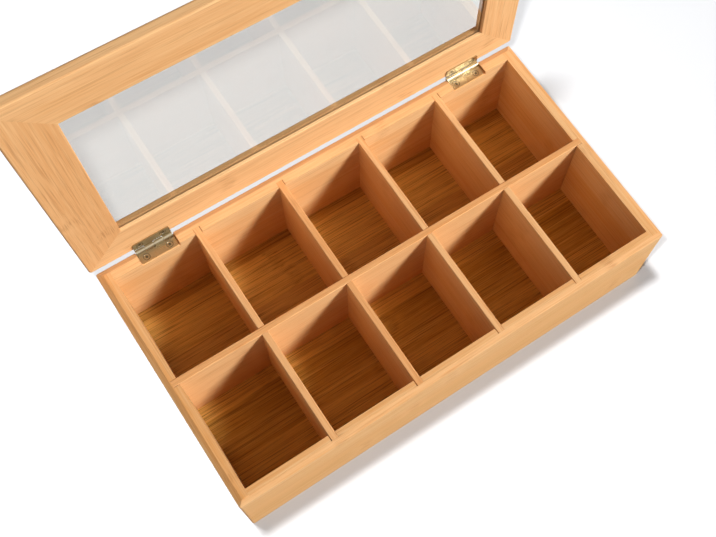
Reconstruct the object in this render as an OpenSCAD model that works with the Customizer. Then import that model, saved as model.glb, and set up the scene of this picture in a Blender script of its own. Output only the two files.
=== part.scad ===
// Tea bag organizer box: two rows of open compartments under a hinged lid with a clear window.
// Millimetres, +Z up. The origin is the middle of the underside, +X runs right along the box
// and +Y runs back to the hinges. The lid stands open. Turning it by 90 degrees about +X closes it.

/* [Box] */
// Outside length, left to right
box_length = 360; // [320:1:420]
// Outside depth, front to back
box_depth = 196; // [170:1:220]
// Height of the rim above the table
box_height = 75; // [60:1:95]
// Thickness of the left and right walls
side_wall = 9.4; // [8:0.1:13]
// Thickness of the front wall
front_wall_t = 9; // [8.5:0.5:12]
// Thickness of the back wall, which holds the hinges
back_wall_t = 11; // [10.5:0.5:13]
// Thickness of the front and back walls' tongues over the side walls' ends
tongue_t = 3.6; // [3:0.1:3.7]
// Rounding of the upright corners
corner_r = 1.5; // [1:0.25:2.5]
// Width of the bevel round the rim's outer edge
bevel_w = 4.2; // [4:0.1:5]
// Drop of that bevel
bevel_drop = 1.6; // [0.8:0.1:2.5]
// Thickness of the base panel
base_t = 6; // [4:0.5:8]
// How far the base panel is let into each wall
base_let_in = 4; // [3:0.5:5]

/* [Dividers] */
// Thickness of the dividers
divider_t = 5; // [4:0.25:6]
// Depth of the grooves that hold the dividers' ends
dado_depth = 4.5; // [3:0.25:5]
// Slack at one side of each groove
dado_slack = 0.4; // [0.2:0.05:0.6]
// Slack at each side of a cross lap
lap_slack = 0.1; // [0.05:0.05:0.3]
// Rounding of the dividers' top edges
divider_ease = 0.6; // [0.3:0.1:1]

/* [Lid] */
// Thickness of the lid's frame
lid_t = 8; // [7.5:0.25:10]
// Width of the four frame members
frame_w = 32.8; // [24:0.1:38]
// How far the lid reaches past each side wall
lid_side_lip = 2.5; // [0:0.1:4]
// How far the closed lid reaches past the front wall, to lift it by
lid_front_lip = 5.8; // [2:0.1:8]
// Rounding of the lid's corners, seen from above
lid_corner_r = 2.2; // [2:0.1:4]
// Rounding of the outer edge of the lid's top
lid_top_r = 2; // [1:0.1:2]
// Rounding of the outer edge of the lid's underside
lid_under_r = 1.2; // [0.5:0.1:1.5]
// Chamfer along the window's edges
window_chamfer = 0.5; // [0.3:0.1:0.8]
// Thickness of the window pane
pane_t = 2; // [1.5:0.1:2.5]
// How deep the pane lies behind the lid's underside
pane_depth = 2.3; // [2:0.1:3.5]
// How far the pane reaches into the frame
pane_let_in = 6; // [4:0.5:8]
// Slack between the pane's edge and the bottom of its groove
pane_slack = 0.5; // [0.2:0.1:1]

/* [Hinges] */
// From the box's end to the middle of a hinge
hinge_inset = 45.7; // [38:0.1:60]
// Length of a hinge along its pin
hinge_length = 29; // [26:0.5:34]
// Gap between the rim and the closed lid
lid_gap = 0.8; // [0.5:0.1:1.2]
// Outside radius of the rolled knuckles
barrel_r = 1.9; // [1.8:0.05:2.2]
// Thickness of the leaves
leaf_t = 0.9; // [0.8:0.05:1]
// From the pin's axis to the free edge of a leaf
leaf_reach = 9.4; // [9:0.1:9.8]
// Rounding of the leaves' free corners
leaf_corner_r = 1.6; // [1:0.1:2]
// Radius of the pin
pin_r = 0.95; // [0.8:0.05:1]
// Clearance round the pin in the lid's knuckles
pin_fit = 0.04; // [0.03:0.01:0.08]
// From the back wall's outer face in to the pin's axis
axis_in = 0.6; // [0.3:0.1:0.9]
// From the pin's axis to the lid's back edge
lid_setback = 2.1; // [1.8:0.1:2.3]
// Gap between two knuckles
knuckle_gap = 0.3; // [0.25:0.05:0.5]
// Gap between a knuckle and the leaf behind it
notch_gap = 0.4; // [0.3:0.05:0.6]
// Gap between a leaf and its mortise on the left
mortise_gap_left = 0.3; // [0.3:0.05:0.6]
// Gap between a leaf and its mortise on the right
mortise_gap_right = 1; // [0.3:0.1:1.5]

/* [Screws] */
// Radius of the countersunk heads
head_r = 2.2; // [1.9:0.05:2.4]
// Height of the countersunk heads
head_h = 1.2; // [1:0.05:1.4]
// How far the heads lie below the leaf's face
head_sink = 0.2; // [0.1:0.05:0.3]
// Radius of the shanks
shank_r = 1; // [0.8:0.05:1.2]
// Length of the screws in the back wall
body_screw_length = 8; // [6:0.5:12]
// Length of the screws in the lid
lid_screw_length = 6.5; // [5:0.25:7]
// From the hinge's middle to each screw
screw_spacing = 9.3; // [8:0.1:10]
// From the pin's axis to each screw
screw_reach = 6; // [5.6:0.1:6.4]

/* [Hidden] */
$fn = 64;

LEFT = -1;
RIGHT = 1;
FRONT = -1;
BACK = 1;
// Cutters run this far past the faces that they open
past = 1;

// Box, from the outside in
half_length = box_length / 2;
half_depth = box_depth / 2;
inner_half_length = half_length - side_wall;
inner_half_depth = half_depth - (front_wall_t + back_wall_t) / 2;
// The back wall is thicker than the front wall, so the middle of the room inside lies forward
room_middle = (front_wall_t - back_wall_t) / 2;
side_wall_half = half_depth - tongue_t;
base_half_length = inner_half_length + base_let_in;
base_half_depth = inner_half_depth + base_let_in;

// Dividers: four across, one along, halved into each other at mid height
columns = 5;
cell_length = (2 * inner_half_length - (columns - 1) * divider_t) / columns;
divider_h = box_height - base_t;
lap_z = base_t + divider_h / 2;

// Hinge axis: the barrel stands on the mortise's floor and reaches the closed lid's underside
mortise_depth = 2 * barrel_r - lid_gap;
axis_y = half_depth - axis_in;
axis_z = box_height - mortise_depth + barrel_r;
hinge_x = half_length - hinge_inset;
knuckles = 4;
knuckle_pitch = hinge_length / knuckles;
BODY_KNUCKLES = [0, 2];
LID_KNUCKLES = [1, 3];

// Lid, as it lies closed
lid_under = box_height + lid_gap;
lid_half_length = half_length + lid_side_lip;
lid_back = axis_y - lid_setback;
lid_front = -half_depth - lid_front_lip;
lid_middle = (lid_back + lid_front) / 2;
lid_half_depth = (lid_back - lid_front) / 2;
window_half_length = lid_half_length - frame_w;
window_half_depth = lid_half_depth - frame_w;

bamboo = [0.93, 0.72, 0.48];
bamboo_pale = [0.97, 0.79, 0.57];
bamboo_dark = [0.84, 0.6, 0.37];
brass = [0.8, 0.67, 0.35];
glass = [0.85, 0.9, 0.9, 0.4];

// ---------- shared shapes ----------

// A block between two opposite corners
module block(low, high) {
    translate(low)
        cube(high - low);
}

// The box's outer shape: a little rounded at its upright corners and bevelled round its rim
module box_outline() {
    flat_length = half_length - corner_r;
    flat_depth = half_depth - corner_r;
    difference() {
        linear_extrude(height = box_height) {
            square([2 * half_length, 2 * flat_depth], center = true);
            square([2 * flat_length, 2 * half_depth], center = true);
            for (side = [LEFT, RIGHT], end = [FRONT, BACK])
                translate([side * flat_length, end * flat_depth])
                    circle(r = corner_r);
        }
        for (turn = [0, 180])
            rotate([0, 0, turn])
                bevel_cut(half_length, box_depth);
        for (turn = [90, 270])
            rotate([0, 0, turn])
                bevel_cut(half_depth, box_length);
    }
}

// Takes the bevel off an edge of the rim that runs along Y, at a distance from the middle
module bevel_cut(distance, run) {
    translate([distance, 0, box_height - bevel_drop])
        rotate([0, atan2(bevel_drop, bevel_w), 0])
            block([-2 * bevel_w, -run / 2 - past, 0], [bevel_w, run / 2 + past, bevel_w]);
}

// The room that the base panel takes in the walls, open below
module base_room() {
    translate([0, room_middle, 0])
        block([-base_half_length, -base_half_depth, -past], [base_half_length, base_half_depth, base_t]);
}

// ---------- walls ----------

// A groove across the inner face of a front or back wall for the end of each cross divider.
// Its slack lies on the given side.
module cross_dados(end, slack_side) {
    slack_low = slack_side == LEFT ? dado_slack : 0;
    slack_high = slack_side == RIGHT ? dado_slack : 0;
    for (i = [1 : columns - 1])
        translate([cross_x(i), room_middle + end * (inner_half_depth + dado_depth / 2), base_t])
            block([-divider_t / 2 - slack_low, -dado_depth / 2 - (end == BACK ? past : 0), 0],
                [divider_t / 2 + slack_high, dado_depth / 2 + (end == FRONT ? past : 0), divider_h + past]);
}

// A front or back wall: full length, rabbeted at its ends to lap the side walls
module lapped_wall(end, wall_t, slack_side) {
    difference() {
        intersection() {
            box_outline();
            translate([0, end * (half_depth - wall_t / 2), box_height / 2])
                cube([box_length, wall_t, box_height], center = true);
        }
        for (side = [LEFT, RIGHT])
            translate([side * (half_length - side_wall / 2), 0, box_height / 2])
                cube([side_wall, 2 * side_wall_half, box_height + 2 * past], center = true);
        base_room();
        cross_dados(end, slack_side);
    }
}

// A side wall between the tongues, with a groove for the long divider's end
module side_wall_panel(side) {
    difference() {
        intersection() {
            box_outline();
            translate([side * (half_length - side_wall / 2), 0, box_height / 2])
                cube([side_wall, 2 * side_wall_half, box_height], center = true);
        }
        base_room();
        translate([side * (inner_half_length + dado_depth / 2 - past / 2), room_middle, base_t])
            block([-(dado_depth + past) / 2, -divider_t / 2 - dado_slack, 0],
                [(dado_depth + past) / 2, divider_t / 2, divider_h + past]);
    }
}

module front_wall() {
    color(bamboo)
        lapped_wall(FRONT, front_wall_t, LEFT);
}

module back_wall() {
    color(bamboo)
        difference() {
            lapped_wall(BACK, back_wall_t, RIGHT);
            for (side = [LEFT, RIGHT]) {
                mortise(side);
                at_hinge(side)
                    body_screw_holes();
            }
        }
}

module left_wall() {
    color(bamboo_pale)
        side_wall_panel(LEFT);
}

module right_wall() {
    color(bamboo_pale)
        side_wall_panel(RIGHT);
}

// The base panel fills its rebate and is flush with the walls' lower edges
module base_panel() {
    color(bamboo_dark)
        translate([0, room_middle, 0])
            block([-base_half_length, -base_half_depth, 0], [base_half_length, base_half_depth, base_t]);
}

// ---------- dividers ----------

// Where a cross divider stands, counted from the left
function cross_x(i) = -inner_half_length + i * (cell_length + divider_t) - divider_t / 2;

// Upright section of a divider, its top edges rounded
module divider_section() {
    translate([-divider_t / 2, 0])
        square([divider_t, divider_h - divider_ease]);
    translate([-divider_t / 2 + divider_ease, 0])
        square([divider_t - 2 * divider_ease, divider_h]);
    for (side = [LEFT, RIGHT])
        translate([side * (divider_t / 2 - divider_ease), divider_h - divider_ease])
            circle(r = divider_ease);
}

// A divider along X, standing on the base panel
module divider_board(reach) {
    translate([-reach, 0, base_t])
        rotate([90, 0, 90])
            linear_extrude(height = 2 * reach)
                divider_section();
}

// The long divider runs on above every crossing, and is slotted from below
module long_divider() {
    slot = divider_t / 2 + lap_slack;
    color(bamboo_pale)
        translate([0, room_middle, 0])
            difference() {
                divider_board(inner_half_length + dado_depth);
                for (i = [1 : columns - 1])
                    block([cross_x(i) - slot, -divider_t, base_t - past],
                        [cross_x(i) + slot, divider_t, lap_z]);
            }
}

// A cross divider is slotted from above
module cross_divider(i) {
    slot = divider_t / 2 + lap_slack;
    color(bamboo)
        translate([cross_x(i), room_middle, 0])
            difference() {
                rotate([0, 0, 90])
                    divider_board(inner_half_depth + dado_depth);
                block([-divider_t, -slot, lap_z], [divider_t, slot, box_height + past]);
            }
}

// ---------- lid ----------

// Takes what is drawn closed and stands it open about the hinge axis
module stand_open() {
    translate([0, axis_y, axis_z])
        rotate([-90, 0, 0])
            translate([0, -axis_y, -axis_z])
                children();
}

// Section across the lid: both outer edges rounded, more above than below
module lid_section(half_width) {
    translate([-half_width, lid_under_r])
        square([2 * half_width, lid_t - lid_under_r - lid_top_r]);
    translate([-half_width + lid_top_r, lid_t / 2])
        square([2 * (half_width - lid_top_r), lid_t / 2]);
    translate([-half_width + lid_under_r, 0])
        square([2 * (half_width - lid_under_r), lid_t / 2]);
    for (side = [LEFT, RIGHT]) {
        translate([side * (half_width - lid_top_r), lid_t - lid_top_r])
            circle(r = lid_top_r);
        translate([side * (half_width - lid_under_r), lid_under_r])
            circle(r = lid_under_r);
    }
}

// The closed lid's outer shape as one rounded slab
module lid_slab() {
    flat_length = lid_half_length - lid_corner_r;
    flat_depth = lid_half_depth - lid_corner_r;
    translate([0, lid_middle, lid_under]) {
        rotate([90, 0, 90])
            linear_extrude(height = 2 * flat_length, center = true)
                lid_section(lid_half_depth);
        rotate([90, 0, 0])
            linear_extrude(height = 2 * flat_depth, center = true)
                lid_section(lid_half_length);
        for (side = [LEFT, RIGHT], end = [FRONT, BACK])
            translate([side * flat_length, end * flat_depth, 0])
                rotate_extrude()
                    intersection() {
                        lid_section(lid_corner_r);
                        square([lid_corner_r + past, lid_t]);
                    }
    }
}

// A long square bar turned on its edge, to cut a chamfer
module chamfer_bar(length) {
    width = sqrt(2) * window_chamfer;
    rotate([45, 0, 0])
        cube([length, width, width], center = true);
}

// The pane's groove round the window
module pane_room() {
    reach = pane_let_in + pane_slack;
    translate([0, lid_middle, lid_under + pane_depth])
        block([-window_half_length - reach, -window_half_depth - reach, 0],
            [window_half_length + reach, window_half_depth + reach, pane_t]);
}

// The part of the lid's slab that stands on a plan
module slab_on_plan() {
    intersection() {
        lid_slab();
        translate([0, lid_middle, lid_under])
            linear_extrude(height = lid_t)
                children();
    }
}

// A front or back member, mitred at both ends
module rail(end) {
    difference() {
        slab_on_plan()
            polygon([[-lid_half_length, end * lid_half_depth],
                [lid_half_length, end * lid_half_depth],
                [window_half_length, end * window_half_depth],
                [-window_half_length, end * window_half_depth]]);
        pane_room();
        for (height = [0, lid_t])
            translate([0, lid_middle + end * window_half_depth, lid_under + height])
                chamfer_bar(2 * lid_half_length);
    }
}

// A left or right member, mitred at both ends
module stile(side) {
    difference() {
        slab_on_plan()
            polygon([[side * lid_half_length, -lid_half_depth],
                [side * lid_half_length, lid_half_depth],
                [side * window_half_length, window_half_depth],
                [side * window_half_length, -window_half_depth]]);
        pane_room();
        for (height = [0, lid_t])
            translate([side * window_half_length, lid_middle, lid_under + height])
                rotate([0, 0, 90])
                    chamfer_bar(2 * lid_half_depth);
    }
}

module lid_front_rail() {
    color(bamboo)
        stand_open()
            rail(FRONT);
}

module lid_back_rail() {
    color(bamboo_pale)
        stand_open()
            difference() {
                rail(BACK);
                for (side = [LEFT, RIGHT])
                    at_hinge(side)
                        lid_screw_holes();
            }
}

module lid_left_stile() {
    color(bamboo)
        stand_open()
            stile(LEFT);
}

module lid_right_stile() {
    color(bamboo)
        stand_open()
            stile(RIGHT);
}

module window_pane() {
    color(glass)
        stand_open()
            translate([0, lid_middle, lid_under + pane_depth])
                block([-window_half_length - pane_let_in, -window_half_depth - pane_let_in, 0],
                    [window_half_length + pane_let_in, window_half_depth + pane_let_in, pane_t]);
}

// ---------- hinges, drawn closed about an axis along X ----------

module at_hinge(side) {
    translate([side * hinge_x, axis_y, axis_z])
        children();
}

// The mortise runs through the rim from its inner face to its back. Its floor steps down
// under the barrel, so that the lid's knuckles turn clear of the wall.
module mortise(side) {
    low_x = -hinge_length / 2 - mortise_gap_left;
    high_x = hinge_length / 2 + mortise_gap_right;
    step = barrel_r + notch_gap;
    at_hinge(side) {
        block([low_x, axis_in - back_wall_t - past, -barrel_r],
            [high_x, axis_in + past, mortise_depth + past]);
        block([low_x, -step, -step], [high_x, axis_in + past, 0]);
    }
}

// Where a knuckle starts along the pin, counted from the left
function knuckle_start(k) = -hinge_length / 2 + k * knuckle_pitch + (k > 0 ? knuckle_gap / 2 : 0);
function knuckle_end(k) = -hinge_length / 2 + (k + 1) * knuckle_pitch
    - (k < knuckles - 1 ? knuckle_gap / 2 : 0);

// Flat part of a leaf under the axis, its two free corners rounded
module leaf_plate() {
    straight = hinge_length / 2 - leaf_corner_r;
    translate([0, 0, -barrel_r])
        linear_extrude(height = leaf_t) {
            translate([-hinge_length / 2, -leaf_reach + leaf_corner_r])
                square([hinge_length, leaf_reach - leaf_corner_r]);
            translate([-straight, -leaf_reach])
                square([2 * straight, leaf_reach]);
            for (side = [LEFT, RIGHT])
                translate([side * straight, -leaf_reach + leaf_corner_r])
                    circle(r = leaf_corner_r);
        }
}

// A leaf under the axis: plate and rolled knuckles, notched where the other leaf's knuckles turn
module leaf(own, other, bore_r) {
    notch = barrel_r + notch_gap;
    difference() {
        union() {
            difference() {
                leaf_plate();
                for (k = other)
                    block([knuckle_start(k) - knuckle_gap - (k == 0 ? past : 0), -notch, -notch],
                        [knuckle_end(k) + knuckle_gap + (k == knuckles - 1 ? past : 0), notch, notch]);
            }
            for (k = own)
                translate([knuckle_start(k), 0, 0])
                    rotate([0, 90, 0])
                        cylinder(r = barrel_r, h = knuckle_end(k) - knuckle_start(k));
        }
        translate([-hinge_length / 2 - past, 0, 0])
            rotate([0, 90, 0])
                cylinder(r = bore_r, h = hinge_length + 2 * past);
        at_screws()
            screw_hole(head_h + 3 * shank_r);
    }
}

// Puts what follows at a leaf's two screws, level with the leaf's inner face
module at_screws() {
    for (side = [LEFT, RIGHT])
        translate([side * screw_spacing, -screw_reach, leaf_t - barrel_r])
            children();
}

// Half the outline of a countersunk screw that points down, its head's rim at height 0
module screw_profile(length) {
    tip = 2 * shank_r;
    polygon([[0, -length], [shank_r / 5, -length], [shank_r, tip - length],
        [shank_r, -head_h], [head_r, 0], [0, 0]]);
}

// The hole for a screw: the same form, and open above its head
module screw_hole(length) {
    rotate_extrude() {
        screw_profile(length);
        square([head_r, past]);
    }
}

// A screw, its head's face a little below the leaf's, with its cross recess
module screw(length) {
    recess_w = 0.3 * head_r;
    recess_l = 1.2 * head_r;
    recess_h = head_h / 2;
    difference() {
        rotate_extrude()
            screw_profile(length);
        block([-head_r - past, -head_r - past, -head_sink], [head_r + past, head_r + past, past]);
        for (turn = [45, 135])
            rotate([0, 0, turn])
                block([-recess_l / 2, -recess_w / 2, -recess_h], [recess_l / 2, recess_w / 2, 0]);
    }
}

module body_screw_holes() {
    at_screws()
        screw_hole(body_screw_length);
}

// The lid's leaf and screws mirror the body's through the axis
module lid_screw_holes() {
    mirror([0, 0, 1])
        at_screws()
            screw_hole(lid_screw_length);
}

module body_leaf(side) {
    color(brass)
        at_hinge(side)
            leaf(BODY_KNUCKLES, LID_KNUCKLES, pin_r);
}

module lid_leaf(side) {
    color(brass)
        stand_open()
            at_hinge(side)
                mirror([0, 0, 1])
                    leaf(LID_KNUCKLES, BODY_KNUCKLES, pin_r + pin_fit);
}

module hinge_pin(side) {
    color(brass)
        at_hinge(side)
            translate([-hinge_length / 2, 0, 0])
                rotate([0, 90, 0])
                    cylinder(r = pin_r, h = hinge_length);
}

module body_screws(side) {
    color(brass)
        at_hinge(side)
            at_screws()
                screw(body_screw_length);
}

module lid_screws(side) {
    color(brass)
        stand_open()
            at_hinge(side)
                mirror([0, 0, 1])
                    at_screws()
                        screw(lid_screw_length);
}

front_wall();
back_wall();
left_wall();
right_wall();
base_panel();
long_divider();
cross_divider(1);  // cross_divider_1
cross_divider(2);  // cross_divider_2
cross_divider(3);  // cross_divider_3
cross_divider(4);  // cross_divider_4
lid_front_rail();
lid_back_rail();
lid_left_stile();
lid_right_stile();
window_pane();
body_leaf(LEFT);  // left_body_leaf
lid_leaf(LEFT);  // left_lid_leaf
hinge_pin(LEFT);  // left_hinge_pin
body_screws(LEFT);  // left_body_screws
lid_screws(LEFT);  // left_lid_screws
body_leaf(RIGHT);  // right_body_leaf
lid_leaf(RIGHT);  // right_lid_leaf
hinge_pin(RIGHT);  // right_hinge_pin
body_screws(RIGHT);  // right_body_screws
lid_screws(RIGHT);  // right_lid_screws
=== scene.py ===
# %% [markdown]
# # A bamboo box for tea bags
#
# The box has ten open compartments and a hinged lid with a clear window. Its boards, hinges and
# screws come from the packed model at their real size, so this lesson is about finish: the camera,
# the bamboo, the brass, the pane and the light.

# %% Load the packed model
import math

import bpy
import numpy as np
from mathutils import Matrix, Vector


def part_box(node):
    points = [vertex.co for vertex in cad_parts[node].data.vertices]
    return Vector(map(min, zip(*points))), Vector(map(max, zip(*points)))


MM = 1000.0
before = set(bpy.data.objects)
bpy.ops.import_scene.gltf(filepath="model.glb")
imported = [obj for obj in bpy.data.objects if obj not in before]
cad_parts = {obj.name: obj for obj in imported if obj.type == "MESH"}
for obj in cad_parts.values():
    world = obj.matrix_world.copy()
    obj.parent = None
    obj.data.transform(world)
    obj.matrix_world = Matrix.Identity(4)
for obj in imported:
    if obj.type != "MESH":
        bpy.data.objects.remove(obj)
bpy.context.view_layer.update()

# %% [markdown]
# ## Camera
#
# The box is seen from above its front left corner, close up, with the camera a little rolled. A
# camera can be placed with Euler angles, but a position, a point to look at and a roll are easier
# to read. The lens is shifted, because the frame is cut from the side of a wider view.

# %% Place the camera
IMAGE_W, IMAGE_H = 716, 537
SENSOR_W = 36.0
CAMERA_AT = Vector((-0.1603, -0.2248, 0.6970))
LOOKS_AT = Vector((-0.0051, -0.0675, 0.0750))
ROLL = math.radians(10.70)
LENS = 47.37
AXIS_X, AXIS_Y = 434.5, 331.7
CLIP_FROM, CLIP_TO = 0.01, 20.0


def add_camera():
    """Looks from CAMERA_AT to LOOKS_AT, rolled by ROLL, with the lens axis at AXIS_X, AXIS_Y."""
    camera = bpy.data.cameras.new("camera")
    camera.sensor_width = SENSOR_W
    camera.lens = LENS
    camera.shift_x = (IMAGE_W / 2 - AXIS_X) / IMAGE_W
    camera.shift_y = (AXIS_Y - IMAGE_H / 2) / IMAGE_W
    camera.clip_start = CLIP_FROM
    camera.clip_end = CLIP_TO
    holder = bpy.data.objects.new("camera", camera)
    bpy.context.scene.collection.objects.link(holder)
    aim = (LOOKS_AT - CAMERA_AT).to_track_quat("-Z", "Y").to_matrix()
    turn = aim @ Matrix.Rotation(ROLL, 3, "Z")
    holder.matrix_world = Matrix.Translation(CAMERA_AT) @ turn.to_4x4()
    bpy.context.scene.camera = holder
    return holder


camera = add_camera()
print("camera:", camera.location[:], "shift", camera.data.shift_x, camera.data.shift_y)

# %% [markdown]
# ## Shader maths as Python
#
# A procedural finish is mostly arithmetic on numbers that vary over the surface. Adding Math nodes
# by hand hides the formula, so a small class wraps a socket and lets Python's operators add them.
# The reflected forms, such as __rsub__, are what make 1.0 - mask work.

# %% A socket that takes part in arithmetic
class Wire:
    """A socket of a node tree. Arithmetic on it adds Math nodes and gives a new Wire."""

    def __init__(self, graph, socket):
        self.graph = graph
        self.socket = socket

    def __add__(self, other):
        return self.graph.maths("ADD", self, other)

    __radd__ = __add__

    def __sub__(self, other):
        return self.graph.maths("SUBTRACT", self, other)

    def __rsub__(self, other):
        return self.graph.maths("SUBTRACT", other, self)

    def __mul__(self, other):
        return self.graph.maths("MULTIPLY", self, other)

    __rmul__ = __mul__

    def __truediv__(self, other):
        return self.graph.maths("DIVIDE", self, other)

    def __rtruediv__(self, other):
        return self.graph.maths("DIVIDE", other, self)

    def floor(self):
        return self.graph.maths("FLOOR", self)

    def fract(self):
        return self.graph.maths("FRACT", self)

    def distance(self, other=0.0):
        return self.graph.maths("ABSOLUTE", self - other)


print("reflected forms:", [name for name in vars(Wire) if name.startswith("__r")])

# %% [markdown]
# Materials, lamps and the world all have a node tree. Each could be filled by hand, but one method
# that takes a node's type, its settings and its sockets does for all three, and keeps what is
# particular to this box, its numbers, in sight.

# %% Node trees and materials
class Graph:
    """A node tree, and the methods that add nodes to it."""

    def __init__(self, tree):
        self.tree = tree

    def add(self, kind, sockets=None, out=0, stops=None, **settings):
        """Adds a node: its settings and ramp stops first, then its sockets' values or Wires."""
        node = self.tree.nodes.new(kind)
        for name, value in settings.items():
            setattr(node, name, value)
        if stops:
            ramp = node.color_ramp
            while len(ramp.elements) < len(stops):
                ramp.elements.new(1.0)
            for element, (position, shade) in zip(ramp.elements, stops):
                element.position = position
                element.color = shade
        for name, value in (sockets or {}).items():
            if isinstance(value, Wire):
                self.tree.links.new(value.socket, node.inputs[name])
            else:
                node.inputs[name].default_value = value
        return Wire(self, node.outputs[out])

    def link(self, wire, node, socket):
        """Joins a Wire to a node that the tree came with."""
        self.tree.links.new(wire.socket, self.tree.nodes[node].inputs[socket])

    def maths(self, operation, *values):
        """A Math node on Wires and numbers, in the order given."""
        return self.add("ShaderNodeMath", dict(enumerate(values)), operation=operation)

    def between(self, value, low, high, at_low=0.0, at_high=1.0):
        """at_low below low, at_high above high and a smooth step between them."""
        sockets = {"Value": value, "From Min": low, "From Max": high}
        sockets.update({"To Min": at_low, "To Max": at_high})
        return self.add("ShaderNodeMapRange", sockets, interpolation_type="SMOOTHSTEP")

    def blend(self, share, first, second):
        """Mixes two colours. Its colour sockets are numbers 6 and 7 and its result is number 2."""
        return self.add("ShaderNodeMix", {0: share, 6: first, 7: second}, out=2, data_type="RGBA")

    def mix_shaders(self, share, first, second):
        """The first shader where share is 0 and the second where it is 1."""
        return self.add("ShaderNodeMixShader", {0: share, 1: first, 2: second})

    def noise(self, vector, scale, detail=2.0, rough=0.5):
        """Soft blotches round 0.5, scale of them to a unit of the vector."""
        sockets = {"Vector": vector, "Scale": scale, "Detail": detail, "Roughness": rough}
        return self.add("ShaderNodeTexNoise", sockets)


class Finish(Graph):
    """The node tree of a new material with a Principled BSDF, whose constants are given."""

    def __init__(self, name, **constants):
        self.material = bpy.data.materials.new(name)
        self.material.use_nodes = True
        super().__init__(self.material.node_tree)
        shader = self.tree.nodes["Principled BSDF"]
        for socket, value in constants.items():
            shader.inputs[socket.replace("_", " ")].default_value = value
        self.shader = Wire(self, shader.outputs[0])

    def feed(self, socket, wire):
        self.link(wire, "Principled BSDF", socket)

    def emboss(self, height, strength, depth):
        """Bumps the surface by a Wire, without changing its shape."""
        sockets = {"Strength": strength, "Distance": depth, "Height": height}
        self.feed("Normal", self.add("ShaderNodeBump", sockets))

    def position(self):
        """Object coordinates, in metres. They stay with a piece when its joint moves it."""
        return self.add("ShaderNodeTexCoord", out="Object")

    def normal(self, axis):
        """How far the surface faces along an axis of the object, from -1 to 1."""
        normal = self.add("ShaderNodeTexCoord", out="Normal")
        return self.add("ShaderNodeSeparateXYZ", {0: normal}, out=axis)


print("one method adds every node:", Graph.add.__doc__)

# %% [markdown]
# Colours are easiest to choose as screen values from 0 to 255, but a shader works with linear
# light. A colour picker converts them silently. Here the standard screen curve is written out: a
# straight line for the darkest values and a power of the lifted value above it.

# %% Screen colours
BRIGHTEST = 255
STRAIGHT_BELOW, STRAIGHT_SLOPE = 0.04045, 12.92
LIFT, POWER = 0.055, 2.4


def colour(red, green, blue):
    """A screen colour in 0 to 255 as the linear value that a shader takes."""
    def linear(channel):
        share = channel / BRIGHTEST
        if share <= STRAIGHT_BELOW:
            return share / STRAIGHT_SLOPE
        return ((share + LIFT) / (1 + LIFT)) ** POWER
    return (linear(red), linear(green), linear(blue), 1.0)


WHITE = (1.0, 1.0, 1.0, 1.0)
print("a mid straw colour is", [round(v, 3) for v in colour(235, 185, 128)])

# %% [markdown]
# ## Bamboo
#
# Each board is glued up from slats of split cane about 20 mm wide, a few plies thick. A slat has
# long fibres along it, and darker veins and vessels that start and stop. A picture of bamboo would
# stretch round corners, so the pattern is worked out in the board's own three directions instead:
# along the grain, across the face and through the thickness.

# %% Slats and streaks
X, Y, Z = 0, 1, 2
SLAT_W = 19.0
PLY_T = 4.7
# How far each board's slats and plies are shifted from the last board's, as a share of one
SLAT_SHIFT, PLY_SHIFT = 0.37, 0.61
# Each layer's changes per millimetre along and across the grain, its detail, its roughness, and
# how far each board's seed moves it along
STREAKS = {
    "cloud": (0.007, 0.12, 2.0, 0.5, 1.0),
    "fibre": (0.012, 0.75, 3.0, 0.6, 3.0),
    "fine": (0.045, 2.8, 2.0, 0.5, 5.0),
    "vein": (0.018, 0.80, 3.0, 0.55, 7.0),
    "vessel": (0.035, 1.7, 1.0, 0.5, 9.0),
    "waver": (0.02, 0.25, 2.0, 0.5, 1.0),
    "stroke": (0.10, 1.3, 1.0, 0.5, 0.0),
}


def grain_place(finish, grain, across):
    """Object coordinates in millimetres, in the order along the grain, across the face, through."""
    position = finish.position()
    axes = [finish.add("ShaderNodeSeparateXYZ", {0: position}, out=i) * MM for i in (X, Y, Z)]
    return axes[grain], axes[across], axes[3 - grain - across]


def streaks(finish, place, layer, seed, fineness=1.0):
    """Noise drawn out along the grain. Its spots are 1/along by 1/across millimetres."""
    along, across, detail, rough, stride = STREAKS[layer]
    across *= fineness
    parts = (place[0] * along + seed * stride, place[1] * across, place[2] * across)
    vector = finish.add("ShaderNodeCombineXYZ", dict(enumerate(parts)))
    return finish.noise(vector, 1.0, detail, rough)


def chance(finish, *numbers):
    """A steady random number from 0 to 1 for each set of whole numbers."""
    vector = finish.add("ShaderNodeCombineXYZ", dict(enumerate(numbers)))
    return finish.add("ShaderNodeTexWhiteNoise", {"Vector": vector}, noise_dimensions="3D")


print("slats %.0f mm wide, plies %.1f mm thick, %d layers" % (SLAT_W, PLY_T, len(STREAKS)))

# %% [markdown]
# Every 20 cm or so a cane has a node, a joint of the stalk. On a planed slat it shows as a ragged
# arc of short dark strokes with a pale halo. It could be drawn by hand on each slat. Here the
# distance along the slat to the nearest node, bent into an arc and made to waver, gives both at
# once.

# %% Node marks
NODE_STEP = 230.0
NODE_CHANCE = 7.0
ARCH_MM, WAVER_MM = 16.0, 7.0
BAND_MM = (1.5, 8.0)
HALO_MM = (3.0, 18.0)
STROKE_EDGE = (0.44, 0.68)
FAINTEST_STROKE = 0.15


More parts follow.
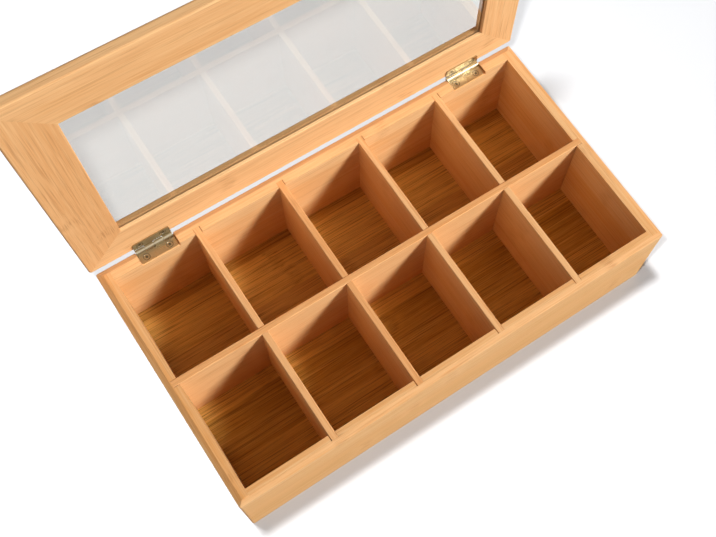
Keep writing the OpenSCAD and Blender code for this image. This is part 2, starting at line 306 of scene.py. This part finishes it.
def node_marks(finish, place, slat, seed):
    """A slat's dark strokes at each node, and the pale halo round them.

    The offset from a node is the place along the slat, plus a start of the slat's own, plus an
    arc that grows with the square of the distance from the slat's middle, plus a waver.
    """
    along, across = place[:2]
    start = chance(finish, slat, NODE_CHANCE, seed) * NODE_STEP
    in_slat = (across / SLAT_W + seed * SLAT_SHIFT).fract() - 0.5
    arch = in_slat * in_slat * ARCH_MM
    waver = streaks(finish, place, "waver", seed) * WAVER_MM
    offset = ((along + start + arch + waver) / NODE_STEP).fract().distance(0.5) * NODE_STEP
    band = 1.0 - finish.between(offset, *BAND_MM)
    strokes = finish.between(streaks(finish, place, "stroke", seed), *STROKE_EDGE)
    strokes = strokes * (1.0 - FAINTEST_STROKE) + FAINTEST_STROKE
    return band * strokes, 1.0 - finish.between(offset, *HALO_MM)


print("a node every %.0f mm, its strokes within %.0f mm" % (NODE_STEP, BAND_MM[1]))

# %% [markdown]
# A board shows three kinds of surface: broad faces, narrow edges, and ends where the fibres are cut
# across and show as dots. The rim also has a shallow planed bevel. Each could be given a material
# of its own, but the surface's own direction already tells them apart. The lid's mitres slope too
# much to count as ends, and they are hidden in their joints.

# %% Ends, faces and bevels
FACING = (0.75, 0.95)
# The bevel's normal leans about 21 degrees from straight up, so its upward part is near 0.93
BEVEL_FROM, BEVEL_TO = (0.88, 0.92), (0.95, 0.98)
DOTS_PER_M = 1400.0
DOT_EDGE = (0.16, 0.42)
END_SHARE, DOT_SHARE = 0.30, 0.45


def facing(finish, axis):
    """1 where the surface faces along an axis, either way, and 0 where it faces across it."""
    return finish.between(finish.normal(axis).distance(), *FACING)


def planed_edge(finish):
    """1 on the shallow bevel, where painted shade darkens it, and 0 elsewhere."""
    up = finish.normal(Z)
    return finish.between(up, *BEVEL_FROM) * (1.0 - finish.between(up, *BEVEL_TO))


def end_grain(finish, ends, body, vein_colour):
    """Darkens the ends, and darkens them again between the dots of the cut fibres."""
    dots = finish.add("ShaderNodeTexVoronoi", {"Vector": finish.position(), "Scale": DOTS_PER_M})
    dark = 1.0 - finish.between(dots, *DOT_EDGE)
    body = finish.blend(ends * END_SHARE, body, vein_colour)
    return finish.blend(ends * dark * DOT_SHARE, body, vein_colour)


print("facing an axis: from %.0f degrees off it, fully at %.0f"
      % tuple(math.degrees(math.acos(share)) for share in FACING))

# %% [markdown]
# One board's finish puts the layers together. The deeper the sum of slat tone, cloud and fibres,
# the darker the wood. Veins, vessels and node strokes go over that, then painted shade on the
# bevel, and the ends. Broad faces show the slats' wide sides, so they get a tint of their own.

# %% One board
# Pale wood, deep wood and veins, for the walls, the lid, the dividers and the floor
WALL_WOOD = (colour(249, 200, 145), colour(234, 164, 94), colour(178, 108, 50))
LID_WOOD = (colour(246, 196, 140), colour(228, 163, 102), colour(172, 104, 50))
DIVIDER_WOOD = (colour(248, 192, 134), colour(232, 156, 90), colour(176, 104, 48))
# Floor: pale and deep wood darkened as painted shade in the compartments; its veins are grain
SHADED_FLOOR_WOOD = (colour(234, 186, 100), colour(184, 136, 56), colour(100, 62, 16))
WARM_CANE = colour(244, 192, 138)
FACE_CANE = colour(226, 194, 144)
# A darker tint for the broad faces of the front and left walls: painted shade
SHADED_FACE_CANE = colour(204, 164, 110)
HUE_SEED = 40.0
# How much slat, cloud, fibre and fine fibre deepen the wood, and what is taken off their sum
SLAT_DEPTH, CLOUD_DEPTH, FIBRE_DEPTH, FINE_DEPTH, DEPTH_OFF = 0.42, 0.50, 0.74, 0.82, 0.78
PALE_TO_DEEP = (0.14, 0.86)
VEIN_EDGE, VESSEL_EDGE = (0.50, 0.68), (0.60, 0.72)
HUE_SHARE, VESSEL_SHARE, HALO_SHARE = 0.18, 0.22, 0.16
BOARD_GLOSS = 0.1
BOARD_ROUGH, FIBRE_ROUGH, END_ROUGH = 0.50, 0.16, 0.12
# Fibres stand up from the surface, and vessels, veins and strokes are sunk in it
FIBRE_UP, FINE_UP, VESSEL_DOWN, VEIN_DOWN, STROKE_DOWN = 0.5, 0.3, 0.5, 0.3, 0.4
BOARD_BUMP, BOARD_BUMP_M = 0.28, 0.0004


def bamboo(name, seed, grain, across, wood, tone, veins, nodes,
           edge=0.0, face=0.38, fineness=1.0, face_cane=FACE_CANE):
    """The finish of one board. grain and across are axis numbers and tone darkens it all over.

    veins, nodes, face and the bevel share set how strongly veins, node marks, the broad faces'
    tint, face_cane, and painted shade on the bevel show. fineness makes its veins narrower.
    """
    pale, deep, vein_colour = wood
    finish = Finish(name, Specular_IOR_Level=BOARD_GLOSS)
    place = grain_place(finish, grain, across)
    slat = (place[1] / SLAT_W + seed * SLAT_SHIFT).floor()
    ply = (place[2] / PLY_T + seed * PLY_SHIFT).floor()
    slat_tone = chance(finish, slat, ply, seed)
    slat_hue = chance(finish, slat, ply, seed + HUE_SEED)
    cloud = streaks(finish, place, "cloud", seed)
    fibre = streaks(finish, place, "fibre", seed)
    fine = streaks(finish, place, "fine", seed)
    vein = finish.between(streaks(finish, place, "vein", seed, fineness), *VEIN_EDGE)
    vessel = finish.between(streaks(finish, place, "vessel", seed), *VESSEL_EDGE)
    stroke, halo = node_marks(finish, place, slat, seed)
    ends = facing(finish, grain)

    depth = slat_tone * SLAT_DEPTH + cloud * CLOUD_DEPTH + fibre * FIBRE_DEPTH
    depth = depth + fine * FINE_DEPTH + (tone - DEPTH_OFF)
    body = finish.blend(finish.between(depth, *PALE_TO_DEEP), pale, deep)
    if face:
        body = finish.blend(facing(finish, 3 - grain - across) * face, body, face_cane)
    body = finish.blend(slat_hue * HUE_SHARE, body, WARM_CANE)
    body = finish.blend(vein * veins, body, vein_colour)
    body = finish.blend(vessel * VESSEL_SHARE, body, vein_colour)
    body = finish.blend(halo * HALO_SHARE, body, pale)
    body = finish.blend(stroke * nodes, body, vein_colour)
    # Painted shade: the rim's bevel is darkened towards the vein colour
    if edge:
        body = finish.blend(planed_edge(finish) * edge, body, vein_colour)
    finish.feed("Base Color", end_grain(finish, ends, body, vein_colour))
    finish.feed("Roughness", BOARD_ROUGH + fibre * FIBRE_ROUGH + ends * END_ROUGH)
    height = fibre * FIBRE_UP + fine * FINE_UP
    height = height - vessel * VESSEL_DOWN - vein * VEIN_DOWN - stroke * STROKE_DOWN
    finish.emboss(height, BOARD_BUMP, BOARD_BUMP_M)
    return finish.material


print("floor wood, pale to vein:", [[round(v, 2) for v in shade[:3]] for shade in SHADED_FLOOR_WOOD])

# %% [markdown]
# Which way each board's grain runs decides how the box reads. Fibres always run along a board's
# length, so the walls, dividers and lid members each get their own axes and a seed of their own.
# One shared material would print the same slats on every board.

# %% Finish every board
# The walls' bevels are darkened as painted shade
WALL = {"wood": WALL_WOOD, "veins": 0.20, "nodes": 0.30, "edge": 0.16}
FLOOR = {"wood": SHADED_FLOOR_WOOD, "veins": 0.62, "nodes": 0.40, "face": 0.0, "fineness": 2.0}
DIVIDER = {"wood": DIVIDER_WOOD, "veins": 0.20, "nodes": 0.22}
RAIL = {"wood": LID_WOOD, "veins": 0.25, "nodes": 0.40, "face": 0.10}
STILE = {"wood": LID_WOOD, "veins": 0.30, "nodes": 0.40, "face": 0.10}
# Painted shade: the front and left walls' broad faces take a darker tint, the left's bevel none
SHADED_FRONT = {"nodes": 0.40, "face": 0.58, "face_cane": SHADED_FACE_CANE}
SHADED_LEFT = {"edge": 0.0, "face": 0.68, "face_cane": SHADED_FACE_CANE}
# Axis along the grain, axis across the face, tone, and the recipe. A board's seed is its row
BOARDS = {
    "front_wall": (X, Z, 0.10, WALL | SHADED_FRONT),
    "back_wall": (X, Z, -0.02, WALL),
    "left_wall": (Y, Z, 0.02, WALL | SHADED_LEFT),
    "right_wall": (Y, Z, 0.07, WALL),
    "base_panel": (X, Y, 0.0, FLOOR),
    "long_divider": (X, Z, 0.0, DIVIDER),
    "cross_divider_1": (Y, Z, 0.0, DIVIDER),
    "cross_divider_2": (Y, Z, 0.0, DIVIDER),
    "cross_divider_3": (Y, Z, -0.14, DIVIDER),
    "cross_divider_4": (Y, Z, -0.14, DIVIDER),
    "lid_front_rail": (X, Z, -0.14, RAIL),
    "lid_back_rail": (X, Z, -0.12, RAIL),
    "lid_left_stile": (Z, X, 0.0, STILE),
    "lid_right_stile": (Z, X, 0.10, STILE),
}


def dress(node, material):
    """Gives a node of the model its finish."""
    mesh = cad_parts[node].data
    mesh.materials.clear()
    mesh.materials.append(material)


for row, (board, (grain, across, tone, recipe)) in enumerate(BOARDS.items(), start=1):
    dress(board, bamboo(board + "_bamboo", float(row), grain, across, tone=tone, **recipe))
print("boards finished:", len(BOARDS))

# %% [markdown]
# ## Brass
#
# The hinges are stamped from brass-plated sheet and held by two screws in each leaf. Painted shade
# darkens the seat round each head and its recess. It could be painted on an image, but the distance
# from a screw's own axis puts it in the right place on leaf and screw alike, so the axes are
# measured from the model first.

# %% Where the screws sit
HEAD_R = 2.2
SCREW_AXIS = {"body": Z, "lid": Y}


def screw_centres(side, part):
    """The two screw axes of a leaf in millimetres, from the box round its screws.

    Each screw's middle is one head radius in from an end of that box.
    """
    low, high = (np.array(corner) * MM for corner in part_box("%s_%s_screws" % (side, part)))
    middle = (low + high) / 2
    return [np.array([x, middle[1], middle[2]]) for x in (low[0] + HEAD_R, high[0] - HEAD_R)]


print("left body screws at, mm:", [c.round(1).tolist() for c in screw_centres("left", "body")])

# %% [markdown]
# Bright plating is nearly a mirror, so its look comes from what it reflects. One roughness all over
# would look moulded. Fine rolling lines and a cloudy film of handling spread the reflection
# unevenly. Round the heads and in their recesses painted shade darkens it, and more roughness
# dulls it.

# %% The brass finish
BRASS = colour(184, 170, 142)
BRASS_FILM = colour(142, 108, 72)
SCREW_SHADE = colour(58, 42, 22)
CLOUDS_PER_M = 85.0
LINES_PER_M = (60.0, 1500.0, 1500.0)
FILM_EDGE, FILM_SHARE = (0.40, 0.75), 0.30
# How softly the painted shade begins and ends, in millimetres
RING_IN, RING_OUT = 0.15, 0.2
BRASS_ROUGH, FILM_ROUGH, LINE_ROUGH, RING_ROUGH = 0.24, 0.10, 0.05, 0.25
BRASS_BUMP, BRASS_BUMP_M = 0.05, 0.00005
# Where the painted shade lies, in millimetres from a screw's axis, and how strongly it shows
LEAF_SHADE_RING = (HEAD_R, HEAD_R + 0.3, 0.75)
SCREW_RECESS_SHADE = (0.0, 0.9, 0.70)
PIN_SHADE = (0.0, 0.1, 0.0)


def from_screw(finish, position, centres, axis):
    """Distance in millimetres from the nearest screw's axis."""
    shown = [1.0, 1.0, 1.0]
    shown[axis] = 0.0
    vector_maths = "ShaderNodeVectorMath"
    nearest = None
    for centre in centres:
        sockets = {0: position, 1: tuple(centre / MM)}
        offset = finish.add(vector_maths, sockets, operation="SUBTRACT")
        flat = finish.add(vector_maths, {0: offset, 1: tuple(shown)}, operation="MULTIPLY")
        length = finish.add(vector_maths, {0: flat}, out="Value", operation="LENGTH") * MM
        nearest = length if nearest is None else finish.maths("MINIMUM", nearest, length)
    return nearest


def brass(name, centres, axis, ring_low, ring_high, painted_shade):
    """Plated brass, with painted shade from ring_low to ring_high mm round each screw's axis."""
    finish = Finish(name, Metallic=1.0)
    position = finish.position()
    cloud = finish.noise(position, CLOUDS_PER_M)
    drawn = finish.add("ShaderNodeMapping", {"Vector": position, "Scale": LINES_PER_M})
    lines = finish.noise(drawn, 1.0)
    film = finish.between(cloud, *FILM_EDGE)
    body = finish.blend(film * FILM_SHARE, BRASS, BRASS_FILM)
    away = from_screw(finish, position, centres, axis)
    outside = finish.between(away, ring_high, ring_high + RING_OUT)
    ring = finish.between(away, ring_low - RING_IN, ring_low) * (1.0 - outside)
    # Painted shade: the seat round each screw head and the head's cross recess are darkened
    finish.feed("Base Color", finish.blend(ring * painted_shade, body, SCREW_SHADE))
    rough = BRASS_ROUGH + film * FILM_ROUGH + lines * LINE_ROUGH + ring * RING_ROUGH
    finish.feed("Roughness", rough)
    finish.emboss(lines, BRASS_BUMP, BRASS_BUMP_M)
    return finish.material


brass_parts = []
for side in ("left", "right"):
    for part, axis in SCREW_AXIS.items():
        centres = screw_centres(side, part)
        for piece, painted_shade in (("leaf", LEAF_SHADE_RING), ("screws", SCREW_RECESS_SHADE)):
            brass_parts.append("%s_%s_%s" % (side, part, piece))
            dress(brass_parts[-1], brass(brass_parts[-1] + "_brass", centres, axis, *painted_shade))
    brass_parts.append(side + "_hinge_pin")
    centres = screw_centres(side, "body")
    dress(brass_parts[-1], brass(brass_parts[-1] + "_brass", centres, Z, *PIN_SHADE))
print("brass parts:", len(brass_parts))

# %% [markdown]
# ## The pane
#
# A clear pane seen at a low angle is a mirror as much as a window: what lies behind comes through,
# and the compartments in front are faintly reflected. A full glass shader would bend the light and
# leave a hard shadow, so here a Fresnel factor mixes a clear surface with a polished one. Both
# faces of a real pane reflect, so a single share f of reflection grows to 2f / (1 + f).

# %% The pane's finish
GLASS_IOR = 1.5
PANE_TINT = colour(245, 245, 243)
PANE_CLEAN, PANE_SMEARED = colour(250, 252, 252), colour(240, 244, 245)
SMEARS_PER_M, SMEAR_DETAIL = 22.0, 3.0
SMEAR_EDGE = (0.5, 0.8)
PANE_ROUGH, SMEAR_ROUGH = 0.015, 0.04


def clear_pane():
    """A clear surface and a polished one, mixed by how much both faces reflect at each angle."""
    finish = Finish("clear_pane", Metallic=1.0)
    smear = finish.noise(finish.position(), SMEARS_PER_M, SMEAR_DETAIL)
    finish.feed("Base Color", finish.blend(smear, PANE_CLEAN, PANE_SMEARED))
    finish.feed("Roughness", PANE_ROUGH + finish.between(smear, *SMEAR_EDGE) * SMEAR_ROUGH)
    clear = finish.add("ShaderNodeBsdfTransparent", {"Color": PANE_TINT})
    outside = 1.0 - finish.add("ShaderNodeNewGeometry", out="Backfacing")
    fresnel = finish.add("ShaderNodeFresnel", {"IOR": GLASS_IOR})
    both_faces = fresnel * 2.0 / (fresnel + 1.0) * outside
    mixed = finish.mix_shaders(both_faces, clear, finish.shader)
    finish.link(mixed, "Material Output", "Surface")
    return finish.material


dress("window_pane", clear_pane())
one_face = ((GLASS_IOR - 1) / (GLASS_IOR + 1)) ** 2
print("the pane reflects, seen straight on: %.3f" % (2 * one_face / (1 + one_face)))

# %% [markdown]
# ## Stage and light
#
# The box stands on plain white paper. A lit sheet never comes out evenly white: lamps fade with
# distance, so a large one turns dark towards the horizon. The paper is therefore lit and shaded
# near the box, where its shadow falls, and runs out to plain white further off, on all sides. Only
# what is seen or reflected is this white. For light that bounces, the paper is a duller one, so
# that it doesn't fill the compartments with light.

# %% Paper and backdrop
FLOOR_HALF = 4.0
FLOOR_CELLS = 8
PAPER, PAPER_TOOTH = colour(200, 201, 203), colour(193, 194, 197)
TEETH_PER_M, TOOTH_SHARE = 900.0, 0.1
BOUNCE_PAPER = colour(120, 112, 104)
# Within NEAR_BOX metres of the origin the paper is lit and shaded, past FAR_OFF it is plain white
NEAR_BOX, FAR_OFF = 0.40, 0.95


def seen_rays(graph):
    """1 for a ray of the camera, a reflection or a clear piece, and 0 for light that bounces."""
    rays = ("Is Camera Ray", "Is Glossy Ray", "Is Transmission Ray")
    camera_ray, glossy, through = (graph.add("ShaderNodeLightPath", out=ray) for ray in rays)
    return graph.maths("MAXIMUM", graph.maths("MAXIMUM", camera_ray, glossy), through)


def paper_finish():
    """Lit paper near the box, plain white far off, and a duller paper for light that bounces."""
    finish = Finish("white_paper", Roughness=0.9, Specular_IOR_Level=0.0)
    position = finish.position()
    tooth = finish.noise(position, TEETH_PER_M)
    finish.feed("Base Color", finish.blend(tooth * TOOTH_SHARE, PAPER, PAPER_TOOTH))
    away = finish.add("ShaderNodeVectorMath", {0: position}, out="Value", operation="LENGTH")
    white = finish.add("ShaderNodeEmission", {"Color": WHITE, "Strength": 1.0})
    sheet = finish.mix_shaders(finish.between(away, NEAR_BOX, FAR_OFF), finish.shader, white)
    plain = finish.add("ShaderNodeBsdfDiffuse", {"Color": BOUNCE_PAPER})
    both = finish.mix_shaders(seen_rays(finish), plain, sheet)
    finish.link(both, "Material Output", "Surface")
    return finish.material


def paper_sheet():
    """A flat square grid: x and y run evenly from -FLOOR_HALF to FLOOR_HALF, and z is 0."""
    lines = FLOOR_CELLS + 1
    steps = np.linspace(-FLOOR_HALF, FLOOR_HALF, lines)
    x, y = np.meshgrid(steps, steps, indexing="ij")
    points = np.stack([x, y, np.zeros_like(x)], axis=-1).reshape(-1, 3)
    index = np.arange(lines * lines).reshape(lines, lines)
    corners = [index[:-1, :-1], index[1:, :-1], index[1:, 1:], index[:-1, 1:]]
    faces = np.stack([c.ravel() for c in corners], axis=-1)
    mesh = bpy.data.meshes.new("paper")
    mesh.from_pydata(points.tolist(), [], faces.tolist())
    sheet = bpy.data.objects.new("paper", mesh)
    bpy.context.scene.collection.objects.link(sheet)
    mesh.materials.append(paper_finish())
    return sheet


paper = paper_sheet()
print("paper: %.0f m square, %d faces" % (2 * FLOOR_HALF, len(paper.data.polygons)))

# %% [markdown]
# One soft lamp from the front right shapes the compartments. It could light the paper as well, but
# then one setting would have to suit both. So it lights only the box, and two more lamps light only
# the paper: one near the camera, and one above and behind the box, which gives the soft shadow
# along the front. That shadow is a studio effect, and isn't the first lamp's own.

# %% Lamps
KEY_FROM = Vector((0.88, -0.92, 1.0)).normalized()
KEY_DISTANCE = 5.0
KEY_AIM = (0.0, 0.0, 0.06)
KEY_SIZE, KEY_WATTS = 1.05, 300.0
KEY_TINT = (1.0, 0.995, 0.975)
PAPER_AIM = (0.0, 0.0, 0.0)
NEAR_RIGHT, NEAR_UP = -0.034, 0.028
NEAR_SIZE, NEAR_WATTS = 0.03, 6.0
OVER_AT = Vector((-0.26, 0.30, 2.4))
OVER_SIZE, OVER_WATTS = 0.26, 74.0


def lamp(name, place, looks_at, size, watts, tint=(1.0, 1.0, 1.0)):
    """A square soft lamp at a place, facing a point."""
    light = bpy.data.lights.new(name, "AREA")
    light.size = size
    light.energy = watts
    light.color = tint
    holder = bpy.data.objects.new(name, light)
    bpy.context.scene.collection.objects.link(holder)
    holder.location = place
    holder.rotation_mode = "QUATERNION"
    holder.rotation_quaternion = (Vector(looks_at) - Vector(place)).to_track_quat("-Z", "Y")
    return holder


def light_only(lamps, name, pieces):
    """Makes lamps shine on these pieces and nothing else."""
    lit = bpy.data.collections.new(name)
    for piece in pieces:
        lit.objects.link(piece)
    for holder in lamps:
        holder.light_linking.receiver_collection = lit


key = lamp("key_lamp", KEY_FROM * KEY_DISTANCE, KEY_AIM, KEY_SIZE, KEY_WATTS, KEY_TINT)
light_only([key], "lit_by_key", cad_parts.values())

camera_right, camera_up = (camera.matrix_world.col[i].to_3d() for i in (X, Y))
near_at = CAMERA_AT + NEAR_RIGHT * camera_right + NEAR_UP * camera_up
near_lamp = lamp("near_lamp", near_at, PAPER_AIM, NEAR_SIZE, NEAR_WATTS)
over_lamp = lamp("over_lamp", OVER_AT, PAPER_AIM, OVER_SIZE, OVER_WATTS)
light_only([near_lamp, over_lamp], "paper_only", [paper])

# A lamp this near would fade towards the frame's edges, so it keeps its strength over distance
near_lamp.data.use_nodes = True
near_graph = Graph(near_lamp.data.node_tree)
steady = near_graph.add("ShaderNodeLightFalloff", {"Strength": 1.0}, out="Constant")
near_graph.link(steady, "Emission", "Strength")

# %% [markdown]
# The world stands for the studio's walls. An even world would fill the compartments with light. A
# bright band near the horizon that fades out above lights the box's sides and leaves its depths
# dark. Where the world itself is seen or reflected, it is the plain white of the backdrop.

# %% World
HORIZON_GLOW, TOP_GLOW = 0.50, 0.02
GLOW_END, DARK_START = 0.28, 0.62


def add_world():
    """Light from near the horizon, fading out above, and white where it is seen or reflected."""
    world = bpy.data.worlds.new("studio")
    world.use_nodes = True
    studio = Graph(world.node_tree)
    direction = studio.add("ShaderNodeTexCoord", out="Generated")
    height = studio.add("ShaderNodeSeparateXYZ", {0: direction}, out="Z")
    glow = studio.between(height, GLOW_END, DARK_START, HORIZON_GLOW, TOP_GLOW)
    soft = studio.add("ShaderNodeBackground", {"Color": WHITE, "Strength": glow})
    backdrop = studio.add("ShaderNodeBackground", {"Color": WHITE, "Strength": 1.0})
    both = studio.mix_shaders(seen_rays(studio), soft, backdrop)
    studio.link(both, "World Output", "Surface")
    return world


scene = bpy.context.scene
scene.world = add_world()
scene.view_settings.view_transform = "Standard"
print("world:", scene.world.name, "shown as", scene.view_settings.view_transform)

# %% [markdown]
